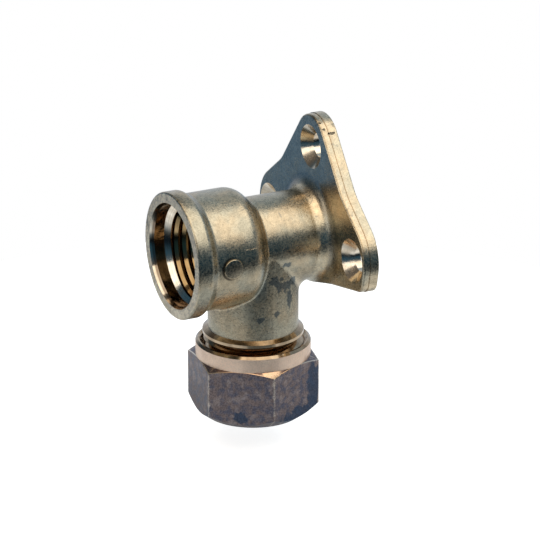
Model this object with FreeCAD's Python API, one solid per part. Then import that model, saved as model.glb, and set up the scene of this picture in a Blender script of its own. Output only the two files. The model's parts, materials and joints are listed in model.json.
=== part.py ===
# Wall plate elbow for copper pipe with a female threaded outlet, in three pieces:
# a forged body, a hexagon nut screwed on its spigot and a sealing ring inside the nut.
# The wall face is y = 0, the outlet looks along -Y and the pipe leg hangs along -Z.
import FreeCAD
import Part
import math
import os
from FreeCAD import Vector

# Standard sizes: the pipe, and the parallel pipe thread of outlet and nut (plain cylinders here)
pipe_dia = 15.0
thread_major_dia = 20.955

# Layout of the body, from the wall face and from the outlet axis
wall_to_mouth = 34.85
wall_to_leg = 16.55
leg_end_drop = 29.9

# Wall plate: three lobes joined by bent flanks, with a step in its edge where the dies met;
# the side lobes have flattened ends
plate_thickness = 3.4
top_lobe_height = 18.9
top_lobe_radius = 6.7
side_lobe_reach = 16.3
side_lobe_height = 0.7
side_lobe_radius = 7.6
lobe_end_reach = 7.9
lobe_end_normal_deg = -12.2
lobe_end_upper_radius = 8.4
lobe_end_lower_radius = 2.8
upper_flank_normal_deg = 38.0
lower_flank_normal_deg = 53.0
foot_normal_deg = -78.2
knee_radius = 10.7
foot_radius = 12.0
seam_height = 1.95
seam_step = 0.12
plate_front_rounding = 0.5
plate_back_rounding = 0.2

# Countersunk screw holes in the plate
screw_hole_dia = 5.2
countersink_dia = 9.2
countersink_angle_deg = 90.0
side_hole_reach = 18.6
side_hole_height = 0.0
top_hole_height = 18.7

# Outlet socket: a bead at the mouth, a plain recess with a flared edge, then the thread
socket_wall = 1.72
socket_length = 14.6
shoulder_length = 2.5
shoulder_rounding = 4.0
bead_height = 1.0
bead_width = 3.1
bead_slope_length = 1.5
bead_rounding = 1.2
mouth_rounding = 0.4
mouth_flare_step = 0.3
mouth_flare_depth = 1.0
recess_step = 0.22
recess_depth = 3.2
lead_in_length = 0.9
outlet_thread_end = 14.2
outlet_floor_half_angle_deg = 59.0
pip_dia = 4.2
pip_height = 0.35
pip_from_mouth = 8.0

# Barrel, leg and spigot
barrel_dia = 18.9
barrel_fillet = 3.0
leg_inset = 0.05
leg_fillet = 2.5
crease_fillet = 0.8
spigot_length = 11.8
spigot_shoulder = 0.6
spigot_chamfer = 0.8

# Waterway, pipe socket and the seat of the ring
waterway_dia = 12.5
pipe_stop_depth = 12.9
seat_margin = 0.25
seat_half_angle_deg = 20.0

# Sealing ring
ring_wall = 1.2
ring_end_wall = 0.4
ring_length = 6.6

# Nut
nut_wall = 1.4625
nut_turn_deg = -7.7
nut_height = 16.1
nut_collar_height = 3.4
nut_collar_inset = 0.05
nut_collar_chamfer = 0.5
nut_top_chamfer_deg = 23.0
nut_bottom_chamfer_deg = 37.0
nut_foot_inset = 1.5
nut_hole_length = 2.7
nut_cone_half_angle_deg = 40.0
nut_cone_margin = 0.25
nut_thread_chamfer = 0.6

# Radial clearances
pipe_socket_clearance = 0.10
pipe_ring_clearance = 0.05
pipe_nut_clearance = 0.15
thread_clearance = 0.06
ring_clearance = 0.05

# A cutting tool passes this far beyond the face that it opens; points this near count as touching
overrun = 1.0
touch = 0.01

# Radii and levels that follow from the sizes above; a drop is measured down from the outlet axis
thread_radius = thread_major_dia / 2
socket_radius = thread_radius + socket_wall
recess_radius = thread_radius + recess_step
barrel_radius = barrel_dia / 2
leg_radius = barrel_radius - leg_inset
waterway_radius = waterway_dia / 2
pipe_socket_radius = pipe_dia / 2 + pipe_socket_clearance
ring_bore_radius = pipe_dia / 2 + pipe_ring_clearance
ring_radius = ring_bore_radius + ring_wall
ring_end_radius = ring_bore_radius + ring_end_wall
seat_mouth_radius = ring_radius + seat_margin
seat_slope = math.tan(math.radians(seat_half_angle_deg))
seat_top_drop = leg_end_drop - (seat_mouth_radius - pipe_socket_radius) / seat_slope
ring_taper = (ring_radius - ring_end_radius) / seat_slope
ring_top_drop = leg_end_drop - (seat_margin - ring_clearance) / seat_slope - ring_taper
ring_foot_drop = ring_top_drop + ring_length
nut_hole_radius = pipe_dia / 2 + pipe_nut_clearance
nut_bore_radius = thread_radius + thread_clearance
nut_cone_slope = math.tan(math.radians(nut_cone_half_angle_deg))
nut_hole_drop = ring_foot_drop + (ring_end_radius + ring_clearance - nut_hole_radius) / nut_cone_slope
nut_foot_drop = nut_hole_drop + nut_hole_length
nut_top_drop = nut_foot_drop - nut_height
nut_flat = nut_bore_radius + nut_wall

OUTLET = Vector(0, -1, 0)
INWARD = Vector(0, 1, 0)
DOWN = Vector(0, 0, -1)
MOUTH = Vector(0, -wall_to_mouth, 0)
ELBOW = Vector(0, -wall_to_leg, 0)


def rounded_wire(corners, place):
    """Closed wire through (u, v, rounding) corners; place turns (u, v) into a point in space."""
    count = len(corners)
    points = [Vector(u, v, 0) for u, v, rounding in corners]
    trims = []
    for i in range(count):
        to_last = points[i - 1] - points[i]
        to_next = points[(i + 1) % count] - points[i]
        trims.append(corners[i][2] / math.tan(to_last.getAngle(to_next) / 2))
    for i in range(count):
        room = 0.99 * (points[i] - points[i - 1]).Length
        wanted = trims[i - 1] + trims[i]
        if wanted > room:
            trims[i - 1] *= room / wanted
            trims[i] *= room / wanted
    edges = []
    for i in range(count):
        to_last = (points[i - 1] - points[i]).normalize()
        to_next = (points[(i + 1) % count] - points[i]).normalize()
        start = points[i] + to_last * trims[i]
        end = points[i] + to_next * trims[i]
        if trims[i] > 0:
            half = to_last.getAngle(to_next) / 2
            radius = trims[i] * math.tan(half)
            middle = points[i] + (to_last + to_next).normalize() * (radius / math.sin(half) - radius)
            edges.append(Part.Arc(place(start), place(middle), place(end)).toShape())
        leave = points[(i + 1) % count] - to_next * trims[(i + 1) % count]
        edges.append(Part.LineSegment(place(end), place(leave)).toShape())
    return Part.Wire(edges)


def turned(corners, origin, axis):
    """Solid of revolution of (distance along axis, radius, rounding) corners."""

    def place(point):
        return origin + axis * point.x + Vector(point.y, 0, 0)

    return Part.Face(rounded_wire(corners, place)).revolve(origin, axis, 360)


def sharp(*pairs):
    """Corners without rounding from (distance, radius) pairs."""
    return [(u, v, 0) for u, v in pairs]


def meeting_edges(joined, first, second):
    """Edges of a joined shape that lie on the skins of both shapes it was joined from."""
    found = []
    for edge in joined.Edges:
        middle = Part.Vertex(edge.valueAt((edge.FirstParameter + edge.LastParameter) / 2))
        on_first = middle.distToShape(first.Shells[0])[0] < touch
        if on_first and middle.distToShape(second.Shells[0])[0] < touch:
            found.append(edge)
    return found


def tangent_corner(first, second):
    """Crossing of two lines, each given as (normal angle, centre and radius of a circle it touches)."""
    rows = []
    for angle, centre, radius in (first, second):
        normal = Vector(math.cos(math.radians(angle)), math.sin(math.radians(angle)), 0)
        rows.append((normal.x, normal.y, normal.dot(centre) + radius))
    (a, b, c), (d, e, f) = rows
    det = a * e - b * d
    return (c * e - b * f) / det, (a * f - c * d) / det


def plate_outline(inset):
    """Face bounded by the outline of the wall plate, drawn in by inset."""
    top = Vector(0, top_lobe_height, 0)
    side = Vector(side_lobe_reach, side_lobe_height, 0)
    far_side = Vector(-side_lobe_reach, side_lobe_height, 0)
    top_radius = top_lobe_radius - inset
    side_radius = side_lobe_radius - inset
    upper = (upper_flank_normal_deg, top, top_radius)
    far_upper = (180 - upper_flank_normal_deg, top, top_radius)
    lower = (lower_flank_normal_deg, side, side_radius)
    foot = (foot_normal_deg, side, side_radius)
    far_foot = (180 - foot_normal_deg, far_side, side_radius)
    end = (lobe_end_normal_deg, side, lobe_end_reach - inset)
    apex = tangent_corner(far_upper, upper)
    knee = tangent_corner(upper, lower)
    brow = tangent_corner(lower, end)
    chin = tangent_corner(end, foot)
    base = tangent_corner(foot, far_foot)
    corners = [
        (apex[0], apex[1], top_radius),
        (knee[0], knee[1], knee_radius + inset),
        (brow[0], brow[1], lobe_end_upper_radius - inset),
        (chin[0], chin[1], lobe_end_lower_radius - inset),
        (base[0], base[1], foot_radius - inset),
        (-chin[0], chin[1], lobe_end_lower_radius - inset),
        (-brow[0], brow[1], lobe_end_upper_radius - inset),
        (-knee[0], knee[1], knee_radius + inset),
    ]
    return Part.Face(rounded_wire(corners, lambda p: Vector(p.x, 0, p.y)))


def screw_hole(x, z):
    """Cutting tool for one countersunk hole, measured from the wall face."""
    slope = math.tan(math.radians(countersink_angle_deg / 2))
    hole = screw_hole_dia / 2
    sunk = countersink_dia / 2
    corners = sharp(
        (-overrun, 0),
        (-overrun, hole),
        (plate_thickness - (sunk - hole) / slope, hole),
        (plate_thickness + overrun, sunk + overrun * slope),
        (plate_thickness + overrun, 0),
    )
    return turned(corners, Vector(x, 0, z), OUTLET)


def wall_plate():
    """Plate with its flare round the barrel and its three screw holes."""
    reach = barrel_radius + barrel_fillet + side_lobe_reach + side_lobe_radius + lobe_end_reach
    slab_corner = Vector(-reach, -plate_thickness, -reach)
    slab = Part.makeBox(2 * reach, plate_thickness, 2 * reach, slab_corner)
    stub = Part.makeCylinder(barrel_radius, wall_to_leg, Vector(0, 0, 0), OUTLET)
    # Half a turn brings the seam line of the flare to the top, clear of the plate's foot
    stub.rotate(Vector(0, 0, 0), OUTLET, 180)
    flared = slab.fuse(stub)
    flared = flared.makeFillet(barrel_fillet, meeting_edges(flared, slab, stub))
    front = flared.common(plate_outline(seam_step).extrude(OUTLET * wall_to_leg))
    front_rim = []
    for edge in front.Edges:
        middle = edge.valueAt((edge.FirstParameter + edge.LastParameter) / 2)
        clear_of_flare = math.hypot(middle.x, middle.z) > barrel_radius + barrel_fillet + touch
        if clear_of_flare and abs(middle.y + plate_thickness) < touch:
            front_rim.append(edge)
    front = front.makeFillet(plate_front_rounding, front_rim)
    rear = plate_outline(0).extrude(OUTLET * seam_height)
    back_rim = [edge for edge in rear.Edges if abs(edge.CenterOfMass.y) < touch]
    holes = [
        screw_hole(0, top_hole_height),
        screw_hole(side_hole_reach, side_hole_height),
        screw_hole(-side_hole_reach, side_hole_height),
    ]
    return front.fuse(rear.makeFillet(plate_back_rounding, back_rim)).cut(holes)


def outlet_socket():
    """Outside of the outlet socket, from the mouth to where its shoulder dies into the barrel."""
    bead_radius = socket_radius + bead_height
    bead_end = bead_width + bead_slope_length
    fall = (socket_radius - barrel_radius) / shoulder_length
    end = socket_length + shoulder_length + overrun
    corners = [
        (0, 0, 0),
        (0, bead_radius, mouth_rounding),
        (bead_width, bead_radius, bead_rounding),
        (bead_end, socket_radius, bead_rounding),
        (socket_length, socket_radius, shoulder_rounding),
        (end, barrel_radius - overrun * fall, 0),
        (end, 0, 0),
    ]
    pip_foot = MOUTH + INWARD * pip_from_mouth
    pip = Part.makeCylinder(pip_dia / 2, socket_radius + pip_height, pip_foot, Vector(1, 0, 0))
    return turned(corners, MOUTH, INWARD), pip


def leg_and_barrel():
    """Barrel and leg blended into each other, with the spigot at the foot of the leg."""
    neck_end = leg_end_drop - spigot_length
    chamfer = min(spigot_chamfer, (thread_radius - seat_mouth_radius) / 2)
    corners = sharp(
        (0, 0),
        (0, leg_radius),
        (neck_end, leg_radius),
        (neck_end + spigot_shoulder, thread_radius),
        (leg_end_drop - chamfer, thread_radius),
        (leg_end_drop, thread_radius - chamfer),
        (leg_end_drop, 0),
    )
    leg = turned(corners, ELBOW, DOWN)
    barrel_length = wall_to_leg + leg_radius + leg_fillet
    barrel = Part.makeCylinder(barrel_radius, barrel_length, Vector(0, 0, 0), OUTLET)
    joined = barrel.fuse(leg)
    return joined.makeFillet(leg_fillet, meeting_edges(joined, barrel, leg))


def waterways():
    """Cutting tools for the threaded outlet, the elbow of the waterway and the pipe socket."""
    floor_depth = (thread_radius - waterway_radius) / math.tan(math.radians(outlet_floor_half_angle_deg))
    flare = mouth_flare_step / mouth_flare_depth
    outlet = sharp(
        (-overrun, 0),
        (-overrun, recess_radius + mouth_flare_step + overrun * flare),
        (mouth_flare_depth, recess_radius),
        (recess_depth, recess_radius),
        (recess_depth + lead_in_length, thread_radius),
        (outlet_thread_end, thread_radius),
        (outlet_thread_end + floor_depth, waterway_radius),
        (wall_to_mouth - wall_to_leg, waterway_radius),
        (wall_to_mouth - wall_to_leg, 0),
    )
    stop_drop = leg_end_drop - pipe_stop_depth
    inlet = sharp(
        (0, 0),
        (0, waterway_radius),
        (stop_drop, waterway_radius),
        (stop_drop, pipe_socket_radius),
        (seat_top_drop, pipe_socket_radius),
        (leg_end_drop, seat_mouth_radius),
        (leg_end_drop + overrun, seat_mouth_radius),
        (leg_end_drop + overrun, 0),
    )
    bend = Part.makeSphere(waterway_radius, ELBOW)
    return [turned(outlet, MOUTH, INWARD), bend, turned(inlet, ELBOW, DOWN)]


def elbow_body():
    """The forged body: plate, barrel, leg and socket in one piece."""
    pipes = leg_and_barrel()
    socket, pip = outlet_socket()
    joined = pipes.fuse(socket)
    joined = joined.makeFillet(crease_fillet, meeting_edges(joined, pipes, socket))
    solid = joined.fuse([pip, wall_plate()])
    return solid.cut(waterways()).removeSplitter()


def compression_ring():
    """Sealing ring with both ends tapered like the seat."""
    corners = sharp(
        (0, ring_bore_radius),
        (0, ring_end_radius),
        (ring_taper, ring_radius),
        (ring_length - ring_taper, ring_radius),
        (ring_length, ring_end_radius),
        (ring_length, ring_bore_radius),
    )
    return turned(corners, ELBOW + DOWN * ring_top_drop, DOWN)


def compression_nut():
    """Hexagon nut with a round collar, bored for the spigot, the ring and the pipe."""
    corner_radius = nut_flat / math.cos(math.pi / 6)
    collar_radius = nut_flat - nut_collar_inset
    top_fall = (corner_radius - collar_radius) * math.tan(math.radians(nut_top_chamfer_deg))
    foot_radius_here = nut_flat - nut_foot_inset
    foot_rise = (corner_radius - foot_radius_here) * math.tan(math.radians(nut_bottom_chamfer_deg))
    outside = sharp(
        (0, 0),
        (0, collar_radius - nut_collar_chamfer),
        (nut_collar_chamfer, collar_radius),
        (nut_collar_height, collar_radius),
        (nut_collar_height + top_fall, corner_radius),
        (nut_height - foot_rise, corner_radius),
        (nut_height, foot_radius_here),
        (nut_height, 0),
    )
    top = ELBOW + DOWN * nut_top_drop
    hexagon = []
    for i in range(6):
        angle = math.radians(nut_turn_deg + 60 * i)
        hexagon.append(top + Vector(math.cos(angle), math.sin(angle), 0) * corner_radius)
    prism = Part.Face(Part.makePolygon(hexagon + hexagon[:1])).extrude(DOWN * nut_height)
    cone_mouth = ring_radius + nut_cone_margin
    hole_start = nut_height - nut_hole_length
    cone_start = hole_start - (cone_mouth - nut_hole_radius) / nut_cone_slope
    inside = sharp(
        (-overrun, 0),
        (-overrun, nut_bore_radius + nut_thread_chamfer + overrun),
        (nut_thread_chamfer, nut_bore_radius),
        (cone_start, nut_bore_radius),
        (cone_start, cone_mouth),
        (hole_start, nut_hole_radius),
        (nut_height + overrun, nut_hole_radius),
        (nut_height + overrun, 0),
    )
    return prism.common(turned(outside, top, DOWN)).cut(turned(inside, top, DOWN))


if __name__ == "__main__":
    os.makedirs("parts", exist_ok=True)
    elbow_body().exportStep("parts/elbow_body.step")
    compression_nut().exportStep("parts/compression_nut.step")
    compression_ring().exportStep("parts/compression_ring.step")
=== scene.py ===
"""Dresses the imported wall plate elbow: forged body, compression nut and ring, in a small studio."""

import json
import logging
import math
from collections.abc import Callable
from dataclasses import dataclass
from enum import Enum

import bmesh
import bpy
from mathutils import Matrix, Vector
from mathutils.kdtree import KDTree

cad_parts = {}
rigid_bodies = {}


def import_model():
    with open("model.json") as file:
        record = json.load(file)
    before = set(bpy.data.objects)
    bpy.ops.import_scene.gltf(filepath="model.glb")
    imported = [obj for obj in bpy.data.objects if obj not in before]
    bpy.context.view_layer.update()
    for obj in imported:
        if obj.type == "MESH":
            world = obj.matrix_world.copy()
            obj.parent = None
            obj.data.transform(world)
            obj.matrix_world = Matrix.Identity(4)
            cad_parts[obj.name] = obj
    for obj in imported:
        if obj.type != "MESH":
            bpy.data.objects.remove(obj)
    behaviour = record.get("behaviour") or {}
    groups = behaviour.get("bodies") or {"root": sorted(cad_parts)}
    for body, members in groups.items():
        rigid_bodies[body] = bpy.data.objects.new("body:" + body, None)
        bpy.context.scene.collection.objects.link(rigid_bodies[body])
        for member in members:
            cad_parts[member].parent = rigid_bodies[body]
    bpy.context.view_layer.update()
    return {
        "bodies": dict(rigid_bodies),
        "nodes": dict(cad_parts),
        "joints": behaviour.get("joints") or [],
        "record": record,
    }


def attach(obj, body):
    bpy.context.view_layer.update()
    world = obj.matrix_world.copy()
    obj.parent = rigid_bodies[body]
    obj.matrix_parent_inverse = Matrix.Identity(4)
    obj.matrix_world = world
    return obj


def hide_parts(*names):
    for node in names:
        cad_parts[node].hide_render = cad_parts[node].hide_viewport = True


MM = 0.001
LEG_Y = -16.55
LOG = logging.getLogger("wall_plate_elbow")

Socket = bpy.types.NodeSocket
Surface = tuple[Socket, Socket, Socket]
Colour = tuple[float, float, float]
Outline = list[tuple[float, float]]
# Pairs of a spot's centre and its half sizes
Spots = tuple[tuple[Colour, Colour], ...]
# Low and high of a smooth step from 0 to 1
Range = tuple[float, float]
# Low and high of a smooth step, and its results there
Ramp = tuple[float, float, float, float]
# Low and high of a band, and the half widths of its borders there
Band = tuple[float, float, float, float]


class NodeGraph:
    """Short calls that add and wire the nodes of one tree."""

    def __init__(self, tree: bpy.types.NodeTree) -> None:
        """Empties the tree."""
        self.tree = tree
        tree.nodes.clear()

    def node(self, kind: str, **settings: object) -> bpy.types.Node:
        """Adds a node.

        Args:
            kind: The node's type without its ShaderNode prefix.
            settings: Properties that are set on the node.

        Returns:
            The new node.
        """
        made = self.tree.nodes.new("ShaderNode" + kind)
        for name, value in settings.items():
            setattr(made, name, value)
        return made

    def feed(self, target: Socket, source: object) -> None:
        """Links a socket to the target, or sets a plain value on it.

        Args:
            target: The input to fill.
            source: A socket, a number or a colour.
        """
        if isinstance(source, Socket):
            self.tree.links.new(source, target)
        elif isinstance(source, (int, float)):
            target.default_value = source
        else:
            target.default_value = (*source, 1.0)[: len(target.default_value)]

    def math(self, operation: str, *values: object) -> Socket:
        """Adds a Math node.

        Args:
            operation: The node's operation.
            values: Its inputs in order.

        Returns:
            The result's socket.
        """
        made = self.node("Math", operation=operation)
        for socket, value in zip(made.inputs, values):
            self.feed(socket, value)
        return made.outputs[0]

    def vector(self, operation: str, *values: object) -> Socket:
        """Adds a Vector Math node.

        Args:
            operation: The node's operation.
            values: Its vector inputs in order.

        Returns:
            The number of a dot product or length, otherwise the vector.
        """
        made = self.node("VectorMath", operation=operation)
        for socket, value in zip(made.inputs, values):
            self.feed(socket, value)
        return made.outputs["Value" if operation in ("DOT_PRODUCT", "LENGTH") else "Vector"]

    def place(self) -> Socket:
        """Reads the place on the object.

        Returns:
            Its own coordinates in millimetres.
        """
        scaled = self.node("Mapping")
        scaled.inputs["Scale"].default_value = (1 / MM, 1 / MM, 1 / MM)
        self.feed(scaled.inputs["Vector"], self.node("TexCoord").outputs["Object"])
        return scaled.outputs["Vector"]

    def noise(self, where: object, scale: float, detail: float = 2.0, warp: float = 0.0) -> Socket:
        """Adds a noise pattern.

        Args:
            where: The coordinates.
            scale: Features per millimetre.
            detail: Octaves of finer noise.
            warp: Distortion of the pattern.

        Returns:
            The pattern's value.
        """
        made = self.node("TexNoise")
        self.feed(made.inputs["Vector"], where)
        made.inputs["Scale"].default_value = scale
        made.inputs["Detail"].default_value = detail
        made.inputs["Distortion"].default_value = warp
        return made.outputs["Fac"]

    def spot(self, where: object, centre: Colour, size: Colour) -> Socket:
        """Measures how far a place is from a centre.

        Args:
            where: The coordinates.
            centre: The middle of the spot.
            size: Its half sizes along the axes.

        Returns:
            The distance, which is 1 at the spot's edge.
        """
        scale = tuple(1.0 / value for value in size)
        offset = self.vector("SUBTRACT", where, centre)
        return self.vector("LENGTH", self.vector("MULTIPLY", offset, scale))

    def spots(
        self, where: object, spots: Spots, noise: Socket, wander: float, fade: Ramp, share: object = 0.0
    ) -> Socket:
        """Finds spots with ragged borders.

        Args:
            where: The coordinates.
            spots: Their centres and half sizes.
            noise: The pattern that makes the borders ragged.
            wander: How far it moves them.
            fade: The share of a spot over the distance from its centre.
            share: A share that is there already.

        Returns:
            The largest share of any spot.
        """
        for centre, size in spots:
            border = self.math("MULTIPLY_ADD", noise, wander, self.spot(where, centre, size))
            share = self.math("MAXIMUM", share, self.step(border, *fade))
        return share

    def step(
        self, value: object, low: float, high: float, start: float = 0.0, end: float = 1.0
    ) -> Socket:
        """Maps a value smoothly from one range to another.

        Args:
            value: The value to map.
            low: Where the ramp starts.
            high: Where it ends.
            start: The result at low.
            end: The result at high.

        Returns:
            The mapped value.
        """
        made = self.node("MapRange", interpolation_type="SMOOTHSTEP")
        for socket, number in zip(made.inputs, (value, low, high, start, end)):
            self.feed(socket, number)
        return made.outputs[0]

    def band(self, value: object, low: float, high: float, rise: float, fall: float) -> Socket:
        """Tells where a value lies between two limits.

        Args:
            value: The value to test.
            low: The lower limit.
            high: The upper limit.
            rise: Half the width of the soft border at low.
            fall: Half the width of the soft border at high.

        Returns:
            1 inside the band and 0 outside it.
        """
        inside = self.step(value, low - rise, low + rise)
        return self.math("MULTIPLY", inside, self.step(value, high - fall, high + fall, 1.0, 0.0))

    def split(self, vector: object) -> bpy.types.bpy_prop_collection:
        """Takes a vector apart.

        Args:
            vector: The vector's socket.

        Returns:
            The outputs X, Y and Z.
        """
        made = self.node("SeparateXYZ")
        self.feed(made.inputs[0], vector)
        return made.outputs

    def rays(self) -> tuple[Socket, Socket]:
        """Tells rays apart by where they come from.

        Returns:
            1 for rays from the camera, and 1 for rays from a mirroring or clear surface.
        """
        path = self.node("LightPath").outputs
        mirrored = self.math("MAXIMUM", path["Is Glossy Ray"], path["Is Transmission Ray"])
        return path["Is Camera Ray"], mirrored

    def times(self, colour: object, factor: object) -> Socket:
        """Multiplies a colour by a number or by another colour."""
        return self.mix(1.0, colour, factor, "MULTIPLY")

    def mix(self, factor: object, first: object, second: object, blend: str = "MIX") -> Socket:
        """Mixes two colours.

        Args:
            factor: The share of the second.
            first: A colour or its socket.
            second: A colour or its socket.
            blend: The way of mixing.

        Returns:
            The mixed colour.
        """
        made = self.node("Mix", data_type="RGBA", blend_type=blend)
        self.feed(made.inputs["Factor"], factor)
        self.feed(made.inputs[6], first)
        self.feed(made.inputs[7], second)
        return made.outputs[2]

    def bump(self, height: object, depth: float, strength: float = 1.0, soften: float = 0.0) -> Socket:
        """Turns a height pattern into a shading normal.

        Args:
            height: The pattern.
            depth: Its depth in millimetres.
            strength: How much of it shows.
            soften: The radius in millimetres that sharp edges seem to have.

        Returns:
            The normal.
        """
        made = self.node("Bump")
        made.inputs["Strength"].default_value = strength
        made.inputs["Distance"].default_value = depth * MM
        self.feed(made.inputs["Height"], height)
        if soften:
            worn = self.node("Bevel", samples=8)
            worn.inputs["Radius"].default_value = soften * MM
            self.feed(made.inputs["Normal"], worn.outputs["Normal"])
        return made.outputs["Normal"]


@dataclass(frozen=True)
class Finish:
    """A metal finish, and the name of its material."""

    name: str

    def material(self) -> bpy.types.Material:
        """Makes the material with its nodes.

        Returns:
            The new material.
        """
        made = bpy.data.materials.new(self.name)
        made.use_nodes = True
        graph = NodeGraph(made.node_tree)
        shader = graph.node("BsdfPrincipled")
        shader.inputs["Metallic"].default_value = 1.0
        graph.feed(graph.node("OutputMaterial").inputs["Surface"], shader.outputs["BSDF"])
        colour, roughness, normal = self.surface(graph, graph.place())
        graph.feed(shader.inputs["Base Color"], colour)
        graph.feed(shader.inputs["Roughness"], roughness)
        graph.feed(shader.inputs["Normal"], normal)
        return made

    def surface(self, graph: NodeGraph, where: Socket) -> Surface:
        """Builds the pattern of the finish.

        Args:
            graph: The material's nodes.
            where: The place on the piece in millimetres.

        Returns:
            The sockets of colour, roughness and normal.
        """
        raise NotImplementedError


@dataclass(frozen=True)
class BlastedSkin(Finish):
    """Hot stamped brass, shot blasted and a little tarnished, with the marks of its handling, and with
    painted shade and a painted highlight in places.

    Heights run along Y from the wall face, and reaches out from the outlet's axis, in millimetres.
    """

    name: str = "blasted_skin"
    tan: Colour = (0.615, 0.482, 0.315)
    olive: Colour = (0.525, 0.458, 0.33)
    # Dark colour of real tarnish and stains, also used for painted shade at the barrel's foot and on the
    # pip's top.
    stain_and_shade: Colour = (0.085, 0.11, 0.12)
    # Dark colour of real nicks, also used for the painted shadow line about the pip.
    nick_and_shade: Colour = (0.05, 0.04, 0.03)
    # Colour of the painted shade along the seam's step.
    seam: Colour = (0.42, 0.31, 0.20)
    # Bluish tint of the painted shade in the hollows.
    crease_shade: Colour = (0.70, 0.78, 0.87)
    smooth: float = 0.25
    rough: float = 0.36
    edge: float = 0.0
    drift: Range = (0.38, 0.62)
    grain_span: Range = (0.3, 0.7)
    grain_tone: Ramp = (0.32, 0.68, 0.80, 1.12)
    blotch_tone: Ramp = (0.35, 0.65, 0.88, 1.06)
    plate_front: float = -3.0
    plate_edge: Ramp = (-3.3, -2.9, 1.0, 1.2)
    foot_reach: Ramp = (11.9, 13.4, 1.0, 0.0)
    foot_shade: Ramp = (-4.7, -4.0, 0.0, 0.4)
    # Where the painted highlight over the barrel's fillet lies, and how much brighter it makes it.
    fillet_highlight: Band = (-6.3, -4.35, 0.4, 0.35)
    fillet_highlight_gain: float = 0.4
    seam_y: float = -1.95
    seam_wander: float = 0.3
    seam_fade: Ramp = (0.2, 0.42, 0.4, 0.0)
    hollows: tuple[Band, ...] = ((-31.8, -30.3, 0.3, 0.3), (-20.3, -18.0, 0.3, 0.3))
    hollow_reach: Ramp = (12.7, 13.7, 1.0, 0.0)
    pip: Colour = (12.2, -26.85, 0.0)
    pip_scale: Colour = (4.0, 1.0, 1.0)
    pip_shade: Ramp = (1.6, 2.0, 0.3, 0.0)
    pip_line: float = 2.3
    pip_line_fade: Ramp = (0.12, 0.34, 0.8, 0.0)
    pip_side: Ramp = (-28.05, -25.65, 1.0, 0.25)
    tarnish: Ramp = (0.64, 0.72, 0.0, 0.4)
    stain_wander: float = 2.6
    stain_fade: Ramp = (1.85, 2.15, 0.78, 0.0)
    stains: Spots = (
        ((9.3, -16.0, -5.7), (2.0, 2.2, 1.3)),
        ((9.0, -14.0, -6.9), (2.0, 2.4, 1.8)),
        ((7.9, -11.5, -6.7), (1.9, 1.8, 1.6)),
        ((8.3, -12.2, -10.4), (1.3, 1.2, 2.2)),
        ((9.3, -15.5, -12.6), (1.1, 1.1, 1.0)),
        ((9.1, -19.0, -13.6), (0.9, 1.0, 0.9)),
        ((9.1, -13.4, -2.5), (0.7, 1.2, 0.7)),
    )
    nick_wander: float = 1.2
    nick_fade: Ramp = (1.1, 1.6, 1.0, 0.0)
    nick_share: float = 0.8
    nick_depth: float = 3.0
    nicks: Spots = (
        ((5.6, -1.3, 22.9), (1.6, 1.0, 0.24)),
        ((4.9, -2.7, 23.7), (1.0, 0.6, 0.22)),
        ((3.4, -2.9, 24.7), (1.0, 0.4, 0.2)),
        ((11.9, -22.55, 3.5), (0.6, 1.5, 0.16)),
    )
    grain_height: float = 0.65
    fine_height: float = 0.35
    relief: float = 0.06
    relief_share: float = 0.6

    def surface(self, graph: NodeGraph, where: Socket) -> Surface:
        """See Finish.surface."""
        grain = graph.noise(where, scale=2.6, detail=3.0)
        fine = graph.noise(where, scale=5.0)
        blotch = graph.noise(where, scale=0.75, detail=4.0, warp=0.4)
        drift = graph.step(graph.noise(where, scale=0.17, detail=3.0), *self.drift)
        tone = graph.mix(drift, self.tan, self.olive)
        tone = graph.times(tone, graph.step(grain, *self.grain_tone))
        tone = graph.times(tone, graph.step(blotch, *self.blotch_tone))
        tone = self.forged(graph, where, tone, blotch)
        tone = self.shade_pip(graph, where, tone)
        dark = graph.step(graph.noise(where, scale=0.5, detail=4.0, warp=0.6), *self.tarnish)
        dark = graph.spots(where, self.stains, blotch, self.stain_wander, self.stain_fade, dark)
        tone = graph.mix(dark, tone, self.stain_and_shade)
        dent = graph.spots(where, self.nicks, grain, self.nick_wander, self.nick_fade)
        tone = graph.mix(graph.math("MULTIPLY", dent, self.nick_share), tone, self.nick_and_shade)
        roughness = graph.step(grain, *self.grain_span, self.smooth, self.rough)
        height = graph.math("MULTIPLY", grain, self.grain_height)
        height = graph.math("MULTIPLY_ADD", fine, self.fine_height, height)
        height = graph.math("MULTIPLY_ADD", dent, -self.nick_depth, height)
        return tone, roughness, graph.bump(height, self.relief, self.relief_share, self.edge)

    def forged(self, graph: NodeGraph, where: Socket, tone: Socket, blotch: Socket) -> Socket:
        """Tones the plate's edge, and paints light and shade: shade at the barrel's foot, a highlight
        over its fillet, a soft shade along the seam's step, and shade in the hollows.

        Args:
            graph: The material's nodes.
            where: The place on the piece in millimetres.
            tone: The colour so far.
            blotch: A slow noise that makes the seam wander.

        Returns:
            The new colour.
        """
        height = graph.split(where)["Y"]
        reach = graph.vector("LENGTH", graph.vector("MULTIPLY", where, (1.0, 0.0, 1.0)))
        tone = graph.times(tone, graph.step(height, *self.plate_edge))
        ring = graph.step(reach, *self.foot_reach)
        # Painted shade: the barrel's foot in front of the plate's front is darkened.
        foot = graph.math("MULTIPLY", ring, graph.step(height, *self.foot_shade))
        foot = graph.math("MULTIPLY", foot, graph.math("LESS_THAN", height, self.plate_front))
        tone = graph.mix(foot, tone, self.stain_and_shade)
        # Painted highlight: a band over the barrel's fillet by the plate is brightened.
        fillet_highlight = graph.math("MULTIPLY", ring, graph.band(height, *self.fillet_highlight))
        tone = graph.times(tone, graph.math("MULTIPLY_ADD", fillet_highlight, self.fillet_highlight_gain, 1.0))
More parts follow.
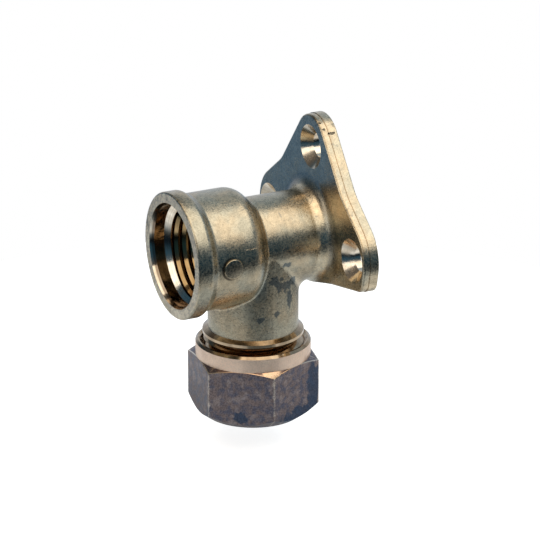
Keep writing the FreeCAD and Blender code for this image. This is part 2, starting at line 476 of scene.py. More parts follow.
        # Painted shade: a soft darker band along the seam's step on the plate's edge.
        aside = graph.math("ABSOLUTE", graph.math("SUBTRACT", height, self.seam_y))
        aside = graph.math("MULTIPLY_ADD", blotch, self.seam_wander, aside)
        tone = graph.mix(graph.step(aside, *self.seam_fade), tone, self.seam)
        # Painted shade: the hollows in two spans along the socket are tinted darker and bluish.
        near = graph.step(reach, *self.hollow_reach)
        for hollow in self.hollows:
            share = graph.math("MULTIPLY", near, graph.band(height, *hollow))
            tone = graph.mix(share, tone, self.crease_shade, "MULTIPLY")
        return tone

    def shade_pip(self, graph: NodeGraph, where: Socket, tone: Socket) -> Socket:
        """Paints shade on the round pip: a darker top, and a painted shadow line about it on the mouth's
        side.

        Args:
            graph: The material's nodes.
            where: The place on the piece in millimetres.
            tone: The colour so far.

        Returns:
            The new colour.
        """
        away = graph.spot(where, self.pip, self.pip_scale)
        # Painted shade: the pip's top is darkened.
        tone = graph.mix(graph.step(away, *self.pip_shade), tone, self.stain_and_shade)
        # Painted shadow: a dark line about the pip on the mouth's side.
        line = graph.math("ABSOLUTE", graph.math("SUBTRACT", away, self.pip_line))
        side = graph.step(graph.split(where)["Y"], *self.pip_side)
        share = graph.math("MULTIPLY", graph.step(line, *self.pip_line_fade), side)
        return graph.mix(share, tone, self.nick_and_shade)


@dataclass(frozen=True)
class TurnedBrass(Finish):
    """Brass as the lathe leaves it, with fine rings about the outlet's axis and painted shade over given
    spans along it.
    """

    name: str = "turned_brass"
    metal: Colour = (0.57, 0.415, 0.265)
    dull: Colour = (0.40, 0.285, 0.18)
    smooth: float = 0.10
    rough: float = 0.16
    depth: float = 0.002
    shade_bands: tuple[tuple[Band, Colour], ...] = ()
    along: Colour = (0.0, 1.0, 0.0)
    centre: Colour = (0.0, 0.0, 0.0)
    ring_scale: float = 7.0
    ring_detail: float = 2.0
    ring_tone: Ramp = (0.3, 0.7, 0.88, 1.08)
    cloud_span: Range = (0.35, 0.68)

    def surface(self, graph: NodeGraph, where: Socket) -> Surface:
        """See Finish.surface."""
        offset = graph.vector("SUBTRACT", where, self.centre)
        height = graph.vector("DOT_PRODUCT", offset, self.along)
        across = tuple(1.0 - value for value in self.along)
        radius = graph.vector("LENGTH", graph.vector("MULTIPLY", offset, across))
        lines = graph.node("TexNoise", noise_dimensions="1D")
        graph.feed(lines.inputs["W"], graph.math("ADD", height, radius))
        lines.inputs["Scale"].default_value = self.ring_scale
        lines.inputs["Detail"].default_value = self.ring_detail
        rings = lines.outputs["Fac"]
        cloud = graph.step(graph.noise(where, scale=0.6, detail=3.0), *self.cloud_span)
        tone = graph.mix(cloud, self.metal, self.dull)
        tone = graph.times(tone, graph.step(rings, *self.ring_tone))
        # Each span darkens the colour: painted shade.
        for band, shade in self.shade_bands:
            tone = graph.mix(graph.band(height, *band), tone, shade, "MULTIPLY")
        roughness = graph.math("MULTIPLY_ADD", cloud, self.rough - self.smooth, self.smooth)
        return tone, roughness, graph.bump(rings, self.depth)


@dataclass(frozen=True)
class TurnedLeg(TurnedBrass):
    """Turned brass with its rings about the leg's axis."""

    along: Colour = (0.0, 0.0, 1.0)
    centre: Colour = (0.0, LEG_Y, 0.0)


@dataclass(frozen=True)
class WornFlats(Finish):
    """Dark mottled tarnish on the nut's flats with bluish patches, worn through along its corners, and
    bright on the upper chamfer, part worn brass and part painted highlight.
    """

    name: str = "worn_flats"
    brown: Colour = (0.255, 0.188, 0.170)
    plum: Colour = (0.135, 0.124, 0.150)
    blue: Colour = (0.050, 0.075, 0.120)
    scuff: Colour = (0.40, 0.31, 0.275)
    # Colour of bright brass: real wear along the corners, and a painted highlight on the upper chamfer.
    brass_and_highlight: Colour = (0.98, 0.82, 0.64)
    half_flat_deg: float = 30.0
    corner_deg: float = 52.3
    flat_reach: float = 12.0
    mottle_span: Range = (0.36, 0.62)
    mottle_rough: Ramp = (0.3, 0.7, 0.34, 0.46)
    scuff_share: Ramp = (0.50, 0.68, 0.0, 0.6)
    fine_tone: Ramp = (0.3, 0.7, 0.72, 1.25)
    blue_patch_wander: float = 1.6
    blue_patch_fade: Ramp = (1.6, 1.95, 0.85, 0.0)
    blue_patches: Spots = (
        ((9.4, -24.3, -34.1), (1.3, 1.6, 1.3)),
        ((9.2, -7.0, -30.5), (1.8, 2.0, 6.0)),
        ((10.8, -11.2, -35.2), (3.5, 6.5, 1.6)),
    )
    corner_wander: float = -0.07
    corner_fade: Ramp = (-0.036, -0.012, 0.5, 0.0)
    corner_grain: Ramp = (0.35, 0.6, 0.25, 1.0)
    chamfer_start: Range = (0.015, 0.03)
    chamfer_line: Ramp = (0.16, 0.30, 0.9, 0.0)
    upper: Range = (-27.0, -26.0)
    bright_deg: float = -7.7
    bright_wander: float = 0.12
    bright_reach: Ramp = (0.17, 0.26, 1.0, 0.0)
    bare_smoother: float = 0.16
    relief: float = 0.035
    relief_share: float = 0.6

    def surface(self, graph: NodeGraph, where: Socket) -> Surface:
        """See Finish.surface."""
        offset = graph.vector("SUBTRACT", where, (0.0, LEG_Y, 0.0))
        split = graph.split(offset)
        angle = graph.math("ARCTAN2", split["Y"], split["X"])
        half = math.radians(self.half_flat_deg)
        turned = graph.math("SUBTRACT", angle, math.radians(self.corner_deg))
        from_corner = graph.math("ABSOLUTE", graph.math("WRAP", turned, half, -half))
        mottle = graph.noise(where, scale=0.8, detail=6.0, warp=0.4)
        fine = graph.noise(where, scale=3.4, detail=3.0)
        patch = graph.noise(where, scale=0.55, detail=6.0, warp=0.5)
        tone = graph.mix(graph.step(mottle, *self.mottle_span), self.plum, self.brown)
        tone = graph.mix(graph.step(patch, *self.scuff_share), tone, self.scuff)
        # Bluish dark patches at given places on the flats.
        blue_patch = graph.spots(where, self.blue_patches, patch, self.blue_patch_wander, self.blue_patch_fade)
        tone = graph.mix(blue_patch, tone, self.blue)
        tone = graph.times(tone, graph.step(fine, *self.fine_tone))
        ragged = graph.math("MULTIPLY_ADD", patch, self.corner_wander, from_corner)
        edge = graph.step(ragged, *self.corner_fade)
        wear_and_highlight = graph.math("MULTIPLY", edge, graph.step(fine, *self.corner_grain))
        # Bright brass: real wear along the corners, and part wear, part painted highlight on the upper
        # chamfer.
        wear_and_highlight = graph.math("MAXIMUM", wear_and_highlight, self.chamfer_brass_and_highlight(graph, offset, angle, from_corner, patch))
        tone = graph.mix(wear_and_highlight, tone, self.brass_and_highlight)
        roughness = graph.step(mottle, *self.mottle_rough)
        roughness = graph.math("MULTIPLY_ADD", wear_and_highlight, -self.bare_smoother, roughness)
        height = graph.math("ADD", fine, mottle)
        return tone, roughness, graph.bump(height, self.relief, self.relief_share)

    def chamfer_brass_and_highlight(
        self, graph: NodeGraph, offset: Socket, angle: Socket, from_corner: Socket, patch: Socket
    ) -> Socket:
        """Finds where the chamfers show bright brass, part wear and part painted highlight: along the
        flats' upper arcs and at one corner.

        Args:
            graph: The material's nodes.
            offset: The place from the nut's axis in millimetres.
            angle: Its angle about the axis.
            from_corner: Its angle from the nearest corner.
            patch: A slow noise that makes the border ragged.

        Returns:
            The share of bright brass.
        """
        radius = graph.vector("LENGTH", graph.vector("MULTIPLY", offset, (1.0, 1.0, 0.0)))
        aside = graph.math("SUBTRACT", math.radians(self.half_flat_deg), from_corner)
        reach = graph.math("MULTIPLY", radius, graph.math("COSINE", aside))
        depth = graph.math("SUBTRACT", self.flat_reach, reach)
        chamfer = graph.step(depth, *self.chamfer_start)
        line = graph.math("MULTIPLY", chamfer, graph.step(depth, *self.chamfer_line))
        near = graph.math("ABSOLUTE", graph.math("SUBTRACT", angle, math.radians(self.bright_deg)))
        near = graph.math("MULTIPLY_ADD", patch, self.bright_wander, near)
        corner = graph.math("MULTIPLY", graph.step(near, *self.bright_reach), chamfer)
        high = graph.step(graph.split(offset)["Z"], *self.upper)
        return graph.math("MULTIPLY", graph.math("MAXIMUM", line, corner), high)


@dataclass(frozen=True)
class SatinCopper(Finish):
    """The nut's collar, evenly worn to a pink satin."""

    name: str = "satin_copper"
    metal: Colour = (0.99, 0.72, 0.53)
    dull: Colour = (0.90, 0.65, 0.48)
    cloud_span: Range = (0.35, 0.65)
    grain_tone: Ramp = (0.3, 0.7, 0.90, 1.05)
    grain_rough: Ramp = (0.3, 0.7, 0.32, 0.46)
    relief: float = 0.04
    relief_share: float = 0.6

    def surface(self, graph: NodeGraph, where: Socket) -> Surface:
        """See Finish.surface."""
        grain = graph.noise(where, scale=2.8, detail=3.0)
        cloud = graph.step(graph.noise(where, scale=0.5, detail=3.0), *self.cloud_span)
        tone = graph.times(graph.mix(cloud, self.metal, self.dull), graph.step(grain, *self.grain_tone))
        roughness = graph.step(grain, *self.grain_rough)
        return tone, roughness, graph.bump(grain, self.relief, self.relief_share)


@dataclass(frozen=True)
class ThreadForm:
    """A parallel pipe thread, in millimetres."""

    pitch: float = 1.814
    major: float = 10.4775
    minor: float = 9.3155
    mouth_half: float = 0.80
    root_half: float = 0.14
    front_half: float = 0.50
    knee: tuple[float, float] = (0.43, 0.25)
    crest_half: float = 1.00
    overrun: float = 0.03
    steps: int = 72

    def groove(self, outside: bool) -> Outline:
        """Gives the section of the cutter.

        Args:
            outside: True for a thread cut into a rod, False for one cut into a bore.

        Returns:
            Points of radius and height about the groove's middle.
        """
        half = self.root_half
        if outside:
            far, root = self.major + self.overrun, self.minor
            return [(far, -self.mouth_half), (root, -half), (root, half), (far, self.mouth_half)]
        far, root = self.minor - self.overrun, self.major
        knee = (self.minor + self.knee[0], self.knee[1])
        return [(far, -self.front_half), (root, -half), (root, half), knee, (far, self.crest_half)]


class Shop:
    """Makes, cuts and paints meshes; gaps in millimetres."""

    MERGE_GAP = 0.002
    SWEEP_GAP = 0.0005
    SAME_POINT = 0.003
    SAME_WAY = 0.985

    @staticmethod
    def object(name: str, work: bmesh.types.BMesh) -> bpy.types.Object:
        """Turns a work mesh into a linked object.

        Args:
            name: The object's name.
            work: The mesh, which is freed.

        Returns:
            The object.
        """
        mesh = bpy.data.meshes.new(name)
        work.to_mesh(mesh)
        work.free()
        if "custom_normal" in mesh.attributes:
            mesh.attributes.remove(mesh.attributes["custom_normal"])
        made = bpy.data.objects.new(name, mesh)
        bpy.context.scene.collection.objects.link(made)
        return made

    @staticmethod
    def copy(node: bpy.types.Object) -> bmesh.types.BMesh:
        """Copies a node's mesh with its loose triangles merged.

        Args:
            node: The node, which stays as it is.

        Returns:
            The work mesh.
        """
        work = bmesh.new()
        work.from_mesh(node.data)
        bmesh.ops.remove_doubles(work, verts=work.verts[:], dist=Shop.MERGE_GAP * MM)
        return work

    @staticmethod
    def sweep(
        outline: Outline, frame: Matrix, turn: float, steps: int, climb: float = 0.0, run_in: float = 0.0
    ) -> bmesh.types.BMesh:
        """Spins a closed outline about the frame's third axis.

        Args:
            outline: Points of radius and height in millimetres.
            frame: Where the axis is; its first axis is where the spin starts.
            turn: The angle in radians.
            steps: How many steps the spin has.
            climb: The travel along the axis in millimetres.
            run_in: How much smaller the radius is where the sweep starts; it grows over half a turn.

        Returns:
            The closed mesh.
        """
        work = bmesh.new()
        ring = [work.verts.new(frame @ Vector((radius, 0.0, height)) * MM) for radius, height in outline]
        edges = [work.edges.new((ring[i - 1], ring[i])) for i in range(len(ring))]
        axis = frame.to_3x3() @ Vector((0.0, 0.0, 1.0))
        full = climb == 0.0
        bmesh.ops.spin(
            work,
            geom=ring + edges,
            cent=frame.translation * MM,
            axis=axis,
            dvec=axis * (climb * MM / steps),
            angle=turn,
            steps=steps,
            use_merge=full,
        )
        growing = int(steps * math.pi / turn) if run_in else 0
        for step in range(growing):
            shift = run_in * (1.0 - step / growing) * MM
            for vertex in work.verts[step * len(ring) : (step + 1) * len(ring)]:
                offset = vertex.co - frame.translation * MM
                vertex.co -= (offset - axis * offset.dot(axis)).normalized() * shift
        if not full:
            bmesh.ops.holes_fill(work, edges=[edge for edge in work.edges if edge.is_boundary], sides=0)
        bmesh.ops.remove_doubles(work, verts=work.verts[:], dist=Shop.SWEEP_GAP * MM)
        bmesh.ops.recalc_face_normals(work, faces=work.faces[:])
        return work

    @staticmethod
    def combine(target: bpy.types.Object, tool: bpy.types.Object, operation: str) -> None:
        """Adds a tool to a target or cuts it away, and removes the tool.

        Args:
            target: The object that changes.
            tool: The object that is used up.
            operation: UNION or DIFFERENCE.
        """
        change = target.modifiers.new("change", "BOOLEAN")
        change.object = tool
        change.operation = operation
        change.solver = "EXACT"
        graph = bpy.context.evaluated_depsgraph_get()
        mesh = bpy.data.meshes.new_from_object(target.evaluated_get(graph))
        target.modifiers.clear()
        target.data = mesh
        bpy.data.objects.remove(tool)

    @staticmethod
    def shade(target: bpy.types.Object, source: bpy.types.Object, crease: float = 28.0) -> None:
        """Shades smooth between creases, with the node's own normals where its corners are kept.

        Args:
            target: The dressed piece.
            source: The node that it was copied from.
            crease: The angle of a sharp edge in degrees.
        """
        mesh, cad = target.data, source.data
        mesh.polygons.foreach_set("use_smooth", [True] * len(mesh.polygons))
        mesh.set_sharp_from_angle(angle=math.radians(crease))
        tree = KDTree(len(cad.vertices))
        for vertex in cad.vertices:
            tree.insert(vertex.co, vertex.index)
        tree.balance()
        corners: dict[int, list[tuple[Vector, Vector]]] = {}
        for face in cad.polygons:
            for loop in face.loop_indices:
                entry = (face.normal.copy(), cad.corner_normals[loop].vector.copy())
                corners.setdefault(cad.loops[loop].vertex_index, []).append(entry)
        near = [tree.find_range(vertex.co, Shop.SAME_POINT * MM) for vertex in mesh.vertices]
        normals = []
        for face in mesh.polygons:
            for loop in face.loop_indices:
                own = mesh.corner_normals[loop].vector.copy()
                normal, best = own, Shop.SAME_WAY
                for _, index, _ in near[mesh.loops[loop].vertex_index]:
                    for flat, smooth in corners.get(index, ()):
                        if flat.dot(face.normal) > best and smooth.dot(own) > Shop.SAME_WAY:
                            best, normal = flat.dot(face.normal), smooth
                normals.append(normal)
        mesh.normals_split_custom_set(normals)

    @staticmethod
    def paint(
        target: bpy.types.Object, finishes: dict[Enum, Finish], zone: Callable[[Vector, Vector], Enum]
    ) -> None:
        """Gives each face the finish of its zone.

        Args:
            target: The dressed piece.
            finishes: The finish of each zone.
            zone: Tells a face's zone from its middle in millimetres and its normal.
        """
        target.data.materials.clear()
        slots = {}
        for key, finish in finishes.items():
            slots[key] = len(slots)
            target.data.materials.append(finish.material())
        for face in target.data.polygons:
            face.material_index = slots[zone(face.center / MM, face.normal)]


class BodyZone(Enum):
    """The finishes on the forging."""

    SKIN = 0
    RIM = 1
    OUTLET = 2
    COUNTERSINK = 3
    SPIGOT = 4


@dataclass
class ElbowBody:
    """The forging with its machined outlet, spigot and screw holes, sizes in millimetres."""

    node: bpy.types.Object
    mouth_y: float = -34.85
    mouth_radius: float = 11.0
    recess_radius: float = 10.6975
    recess_end: float = -31.65
    cone_end: float = -30.75
    thread_end: float = -21.15
    helix_start: float = -31.53
    helix_azimuth: float = 110.0
    wall_bite: float = 0.12
    plate_y: float = -5.0
    spigot_top: float = -18.15
    relief_z: float = -20.1
    relief_turn: float = 0.5
    spigot_end: float = -29.9
    screw_holes: tuple[tuple[float, float], ...] = ((0.0, 18.7), (18.6, 0.0), (-18.6, 0.0))
    countersink_radius: float = 4.75
    pip_y: float = -26.85
    pip_top: float = 12.5
    pip_radius: float = 2.15
    pip_bevel: float = 0.22
    pip_segments: int = 3
    rim_gap: float = 0.002
    outlet_run: float = 1.0
    outlet_gap: float = 0.3
    way_radius: float = 6.5
    entry_radius: float = 8.0
    level: float = 0.95
    upright: float = 0.9
    thread: ThreadForm = ThreadForm()

    def thread_depth(self) -> float:
        """Gives the height of the thread's ridges."""
        return self.thread.major - self.thread.minor

    def soften_pip(self, work: bmesh.types.BMesh) -> None:
        """Rounds the edge of the round mark on the socket's side.

        Args:
            work: The merged copy of the body.
        """
        top = []
        for face in work.faces:
            middle = face.calc_center_median() / MM
            if middle.x > self.pip_top and math.hypot(middle.y - self.pip_y, middle.z) < self.pip_radius:
                top.append(face)
        face = bmesh.ops.dissolve_faces(work, faces=top)["region"][0]
        bmesh.ops.bevel(
            work,
            geom=face.edges[:],
            offset=self.pip_bevel * MM,
            segments=self.pip_segments,
            profile=0.5,
            affect="EDGES",
            material=-1,
        )

    def outlet_thread(self) -> bpy.types.Object:
        """Makes the threaded lining of the outlet.

        Returns:
            The lining, which bites into the bore's wall.
        """
        form = self.thread
        depth = self.cone_end - self.recess_end
        lean = depth / (self.recess_radius - form.minor)
        outer = form.major + self.wall_bite
        outline = [
            (self.recess_radius + self.wall_bite, self.recess_end - lean * self.wall_bite),
            (form.minor, self.cone_end),
            (form.minor, self.thread_end - depth / 2),
            (form.major, self.thread_end),
            (outer, self.thread_end),
            (outer, self.cone_end),
            (self.recess_radius + self.wall_bite, self.recess_end + self.wall_bite),
        ]
        frame = Matrix.Rotation(math.radians(-90), 4, "X")
        lining = Shop.object("outlet_lining", Shop.sweep(outline, frame, math.tau, 2 * form.steps))
        run = self.thread_end - self.helix_start + form.pitch
        turns = run / form.pitch
        turned = Matrix.Rotation(math.radians(-self.helix_azimuth), 4, "Z")
        start = Matrix.Translation((0.0, self.helix_start, 0.0)) @ frame @ turned
        steps = int(turns * form.steps)
        section = form.groove(outside=False)
        groove = Shop.sweep(section, start, math.tau * turns, steps, run, self.thread_depth())
        Shop.combine(lining, Shop.object("outlet_groove", groove), "DIFFERENCE")
        return lining

    def spigot_groove(self) -> bpy.types.Object:
        """Makes the cutter of the spigot's thread, which runs out into a plain groove.

        Returns:
            The helical cutter with the ring of the groove at its top.
        """
        form = self.thread
        section = form.groove(outside=True)
        run = self.relief_z - self.spigot_end + form.pitch
        turns = run / form.pitch
        start = Matrix.Translation((0.0, LEG_Y, self.relief_z - run))
        helix = Shop.sweep(section, start, math.tau * turns, int(turns * form.steps), run)
        cutter = Shop.object("spigot_groove", helix)
        turned = Matrix.Rotation(self.relief_turn, 4, "Z")
        level = Matrix.Translation((0.0, LEG_Y, self.relief_z)) @ turned
        ring = Shop.sweep(section, level, math.tau, 2 * form.steps)
        Shop.combine(cutter, Shop.object("spigot_relief", ring), "UNION")
        return cutter

    def zone(self, middle: Vector, normal: Vector) -> BodyZone:
        """Tells which finish a face has.

        Args:
            middle: The face's middle in millimetres.
            normal: The face's normal.

        Returns:
            The zone.
        """
        bore = math.hypot(middle.x, middle.z)
        if middle.y < self.mouth_y + self.rim_gap:
            return BodyZone.RIM
        if middle.y < self.thread_end + self.outlet_run and bore < self.mouth_radius + self.outlet_gap:
            return BodyZone.OUTLET
        if middle.z < self.spigot_top:
            return BodyZone.SPIGOT
        for x, z in self.screw_holes:
            near = math.hypot(middle.x - x, middle.z - z) < self.countersink_radius
            if near and abs(normal.y) < self.level:
                return BodyZone.COUNTERSINK
        entry = max(math.hypot(middle.x, middle.y - LEG_Y), bore) < self.entry_radius
        waterway = bore < self.way_radius and middle.y < self.plate_y
        if waterway or (entry and abs(normal.z) < self.upright):
            return BodyZone.OUTLET
        return BodyZone.SKIN

    def finishes(self) -> dict[Enum, Finish]:
        """Chooses the finishes.

        Returns:
            The finish of each zone.
        """
        return {
            BodyZone.SKIN: BlastedSkin(),
            BodyZone.RIM: BlastedSkin(
                "faced_rim",
                tan=(0.98, 0.86, 0.68),
                olive=(0.88, 0.77, 0.60),
                smooth=0.6,
                rough=0.75,
                edge=0.4,
            ),
            BodyZone.OUTLET: TurnedBrass(
                "turned_outlet",
                metal=(0.88, 0.76, 0.60),
                dull=(0.74, 0.62, 0.47),
                # Painted shade: the recess behind the mouth, and the bore beyond the cone, are darkened.
                shade_bands=(
                    ((-34.4, -31.75, 0.15, 0.1), (0.42, 0.38, 0.36)),
                    ((-30.75, 0.0, 0.15, 0.1), (0.49, 0.38, 0.23)),
                ),
            ),
            BodyZone.COUNTERSINK: TurnedBrass(
                "drilled_countersink",
                metal=(0.92, 0.78, 0.60),
                dull=(0.80, 0.64, 0.46),
                smooth=0.17,
                rough=0.25,
            ),
            BodyZone.SPIGOT: TurnedLeg("turned_spigot"),
        }

    def build(self) -> bpy.types.Object:
        """Makes the dressed body.

        Returns:
            The piece that stands for the node.
        """
        work = Shop.copy(self.node)
        self.soften_pip(work)
        piece = Shop.object("forged_elbow", work)
        Shop.combine(piece, self.spigot_groove(), "DIFFERENCE")
        Shop.combine(piece, self.outlet_thread(), "UNION")
        Shop.shade(piece, self.node)
        Shop.paint(piece, self.finishes(), self.zone)
        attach(piece, "elbow")
        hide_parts(self.node.name)
        return piece


class NutZone(Enum):
    """The finishes on the nut."""

    FLAT = 0
    COLLAR = 1
    TURNED = 2


@dataclass
class CompressionNut:
    """The hexagon nut with its round collar, sizes in millimetres."""

    node: bpy.types.Object
    collar_top: float = -21.4
    collar_low: float = -24.25
    bore_radius: float = 10.62
    inward: float = -0.1
    sloping: float = 0.3

    def zone(self, middle: Vector, normal: Vector) -> NutZone:
        """Tells which finish a face has.

        Args:
            middle: The face's middle in millimetres.
            normal: The face's normal.

        Returns:
            The zone.
        """
        radius = Vector((middle.x, middle.y - LEG_Y))
        if radius.length < self.bore_radius or radius.dot(normal.xy) < self.inward:
            return NutZone.TURNED
        if abs(normal.z) > self.sloping:
            return NutZone.TURNED if middle.z > self.collar_top else NutZone.FLAT
        if middle.z > self.collar_low:
            return NutZone.COLLAR
        return NutZone.FLAT

    def build(self) -> bpy.types.Object:
        """Makes the dressed nut.

        Returns:
            The piece that stands for the node.
        """
        piece = Shop.object("hexagon_nut", Shop.copy(self.node))
        Shop.shade(piece, self.node)
        finishes = {
            NutZone.FLAT: WornFlats(),
            NutZone.COLLAR: SatinCopper(),
            NutZone.TURNED: TurnedLeg("turned_nut"),
        }
        Shop.paint(piece, finishes, self.zone)
        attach(piece, "nut")
        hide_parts(self.node.name)
        return piece


@dataclass
class CompressionRing:
    """The plain ring inside the nut, whose node keeps its own mesh."""

    node: bpy.types.Object

    def build(self) -> bpy.types.Object:
        """Dresses the ring's node.

        Returns:
            The node.
        """
        finish = TurnedLeg("turned_ring", metal=(0.84, 0.62, 0.36), dull=(0.70, 0.50, 0.29))
        self.node.material_slots[0].material = finish.material()
        return self.node


@dataclass(frozen=True)
class SoftLight:
    """A rectangular soft light that faces the part, sizes in metres."""

    name: str
    towards: Colour
    size: tuple[float, float]
    radiance: float
    tint: Colour
    roll_deg: float = 0.0
    distance: float = 0.7

    def hang(self) -> None:
        """Hangs the light; a radiance of 1 makes its face white."""
        data = bpy.data.lights.new(self.name, "AREA")
        data.shape = "RECTANGLE"
        data.size, data.size_y = self.size
        data.energy = self.radiance * math.pi * self.size[0] * self.size[1]
        data.color = self.tint
        made = bpy.data.objects.new(self.name, data)
        direction = Vector(self.towards).normalized()
        turned = direction.to_track_quat("Z", "Y").to_matrix().to_4x4()
        turned = turned @ Matrix.Rotation(math.radians(self.roll_deg), 4, "Z")
        made.matrix_world = Matrix.Translation(direction * self.distance) @ turned
        bpy.context.scene.collection.objects.link(made)


@dataclass
class Studio:
    """Floor, lights, surroundings and camera, sizes in millimetres.

    The ramps of the floor run over the distance from the leg's axis, and the spans of the room over
    the parts of a ray's direction.
    """

    floor_z: float = -44.25
    floor_radius: float = 120.0
    floor_segments: int = 96
    floor_white: float = 0.86
    floor_lift: float = 0.80
    floor_mirrored: Colour = (0.27, 0.36, 0.46)
    floor_fade: Ramp = (72.0, 114.0, 1.0, 0.1)
    dark_azimuth: float = -12.0
    dark_facing: Ramp = (0.78, 0.95, 1.0, 0.0)
    dark_start: Ramp = (46.0, 74.0, 1.0, 0.0)
    dark_share: float = 0.5
    glow_start: Ramp = (32.0, 62.0, 0.4, 1.0)
    glow_end: Ramp = (64.0, 101.0, 0.68, 0.0)
    walls: Colour = (0.02, 0.066, 0.118)
    ground: Colour = (0.004, 0.009, 0.016)
    ground_span: Range = (-0.3, -0.05)
    window_wall: Colour = (0.11, 0.22, 0.40)
    window_side: Colour = (-0.9, -0.44, 0.0)
    window_span: Range = (0.5, 0.95)
    window_low: Ramp = (-0.2, 0.15, 1.0, 0.0)
    far_wall: Colour = (0.40, 0.42, 0.43)
    far_span: Range = (0.6, 0.9)
    ceiling: Colour = (0.10, 0.09, 0.08)
    ceiling_span: Range = (0.15, 0.8)
    far_ceiling: Colour = (0.33, 0.45, 0.58)
    far_ceiling_span: Range = (-0.1, 0.5)
    backdrop: Colour = (0.60, 0.69, 0.82)
    backdrop_span: Range = (0.64, 0.95)
    white: Colour = (1.0, 1.0, 1.0)
    azimuth: float = 63.698
    elevation: float = 21.09
    distance: float = 800.0
    lens: float = 259.5
    sensor: float = 36.0
    clip: tuple[float, float] = (0.01, 10.0)
    target: Colour = (0.0, -16.65, -8.0)
    aim_right: float = 3.59
    aim_up: float = 1.776
    lights: tuple[SoftLight, ...] = (
        SoftLight("overhead_light", (0.35, -0.08, 0.93), (1.26, 0.96), 1.45, (1.0, 0.93, 0.82)),
        SoftLight("window_light", (-0.03, -0.95, 0.28), (0.62, 0.29), 1.7, (1.0, 0.97, 0.92), 14.0),
    )

    def axes(self) -> tuple[Vector, Vector, Vector]:
        """Works out how the camera is turned.

        Returns:
            Its right, up and back directions.
        """
        turn, tilt = math.radians(self.azimuth), math.radians(self.elevation)
        right = Vector((math.cos(turn), math.sin(turn), 0.0))
        ahead = Vector((-math.sin(turn), math.cos(turn), 0.0))
        high = Vector((0.0, 0.0, 1.0))
        up = ahead * math.sin(tilt) + high * math.cos(tilt)
        back = high * math.sin(tilt) - ahead * math.cos(tilt)
        return right, up, back

    def camera(self) -> None:
        """Sets the camera at the photograph's angle."""
        right, up, back = self.axes()
        aim = Vector(self.target) + right * self.aim_right + up * self.aim_up
        data = bpy.data.cameras.new("photo_camera")
        data.lens, data.sensor_width = self.lens, self.sensor
        data.clip_start, data.clip_end = self.clip
        made = bpy.data.objects.new("photo_camera", data)
        turned = Matrix((right, up, back)).transposed().to_4x4()
        made.matrix_world = Matrix.Translation((aim + back * self.distance) * MM) @ turned
        bpy.context.scene.collection.objects.link(made)
        bpy.context.scene.camera = made

    def floor(self) -> None:
        """Lays the pale floor, which can be seen through from below."""
        work = bmesh.new()
        bmesh.ops.create_circle(
            work,
            cap_ends=True,
            segments=self.floor_segments,
            radius=self.floor_radius * MM,
            matrix=Matrix.Translation(Vector((0.0, LEG_Y, self.floor_z)) * MM),
        )
        made = Shop.object("studio_floor", work)
        paint = bpy.data.materials.new("pale_floor")
        paint.use_nodes = True
        graph = NodeGraph(paint.node_tree)
        below = graph.node("MixShader")
        graph.feed(below.inputs[0], graph.node("NewGeometry").outputs["Backfacing"])
        graph.feed(below.inputs[1], self.floor_paint(graph))
        graph.feed(below.inputs[2], graph.node("BsdfTransparent").outputs[0])
        graph.feed(graph.node("OutputMaterial").inputs["Surface"], below.outputs[0])
        made.data.materials.append(paint)

    def floor_paint(self, graph: NodeGraph) -> Socket:
        """Paints the floor white; metal sees it bluish, with painted light round the foot, painted shade
        in front of the camera, and darker far out.

        Args:
            graph: The nodes of the floor's material.

        Returns:
            The shader of the floor's upper side.
        """
        offset = graph.vector("SUBTRACT", graph.place(), (0.0, LEG_Y, self.floor_z))
        away = graph.vector("LENGTH", offset)
        turn = math.radians(self.dark_azimuth)
        ahead = Vector((math.cos(turn), math.sin(turn), 0.0))
        facing = graph.vector("DOT_PRODUCT", graph.vector("NORMALIZE", offset), ahead)
        clear = graph.step(facing, *self.dark_facing)
        clear = graph.math("MAXIMUM", clear, graph.step(away, *self.dark_start))
        # Painted light: a glow round the foot that only mirroring rays see, with painted shade in front
        # of the camera.
        near = graph.math("MULTIPLY", graph.step(away, *self.glow_start), clear)
        near = graph.math("MULTIPLY", near, graph.step(away, *self.glow_end))
        fade = graph.math("MULTIPLY_ADD", clear, 1.0 - self.dark_share, self.dark_share)
        fade = graph.math("MULTIPLY", fade, graph.step(away, *self.floor_fade))
        shown = graph.times(self.floor_mirrored, fade)
        direct, mirrored = graph.rays()
        seen = graph.math("MULTIPLY", direct, self.floor_lift)
        glow = graph.node("Emission")
        graph.feed(glow.inputs["Strength"], graph.math("MULTIPLY_ADD", mirrored, near, seen))
        matte = graph.node("BsdfDiffuse")
        graph.feed(matte.inputs["Color"], graph.mix(mirrored, (self.floor_white,) * 3, shown))
        both = graph.node("AddShader")
        graph.feed(both.inputs[0], matte.outputs[0])
        graph.feed(both.inputs[1], glow.outputs[0])
        return both.outputs[0]

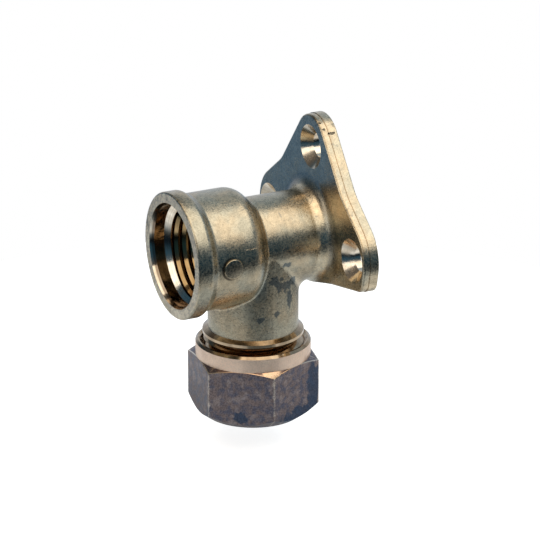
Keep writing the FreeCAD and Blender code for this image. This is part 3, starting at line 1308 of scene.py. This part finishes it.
    def surroundings(self) -> None:
        """Makes the room: a white backdrop, a pale ceiling, a blue wall and a dim rest."""
        _, _, back = self.axes()
        world = bpy.data.worlds.new("studio_room")
        bpy.context.scene.world = world
        world.use_nodes = True
        graph = NodeGraph(world.node_tree)
        ray = graph.node("TexCoord").outputs["Generated"]
        split = graph.split(ray)
        low = graph.mix(graph.step(split["Z"], *self.ground_span), self.ground, self.walls)
        beside = graph.step(graph.vector("DOT_PRODUCT", ray, self.window_side), *self.window_span)
        beside = graph.math("MULTIPLY", beside, graph.step(split["Z"], *self.window_low))
        low = graph.mix(beside, low, self.window_wall)
        low = graph.mix(graph.step(split["Y"], *self.far_span), low, self.far_wall)
        high = graph.mix(graph.step(split["Y"], *self.far_ceiling_span), self.ceiling, self.far_ceiling)
        room = graph.mix(graph.step(split["Z"], *self.ceiling_span), low, high)
        direct, mirrored = graph.rays()
        behind = graph.vector("DOT_PRODUCT", ray, Vector((-back.x, -back.y, 0.0)).normalized())
        share = graph.math("MULTIPLY", graph.step(behind, *self.backdrop_span), mirrored)
        shown = graph.mix(share, room, self.backdrop)
        sky = graph.node("Background")
        graph.feed(sky.inputs["Color"], graph.mix(direct, shown, self.white))
        graph.feed(graph.node("OutputWorld").inputs["Surface"], sky.outputs[0])

    def build(self) -> None:
        """Sets up the whole studio."""
        bpy.context.scene.view_settings.view_transform = "Standard"
        self.camera()
        self.floor()
        self.surroundings()
        for light in self.lights:
            light.hang()


def main() -> None:
    """Builds the dressed part and its studio in order."""
    logging.basicConfig(level=logging.INFO, format="%(name)s: %(message)s")
    for leftover in list(bpy.data.objects):
        bpy.data.objects.remove(leftover)
    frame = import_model()
    nodes = frame["nodes"]
    pieces = [
        ElbowBody(nodes["elbow_body"]).build(),
        CompressionNut(nodes["compression_nut"]).build(),
        CompressionRing(nodes["compression_ring"]).build(),
    ]
    for piece in pieces:
        LOG.info("%s has %d faces", piece.name, len(piece.data.polygons))
    Studio().build()
    bpy.context.view_layer.update()


if __name__ == "__main__":
    main()
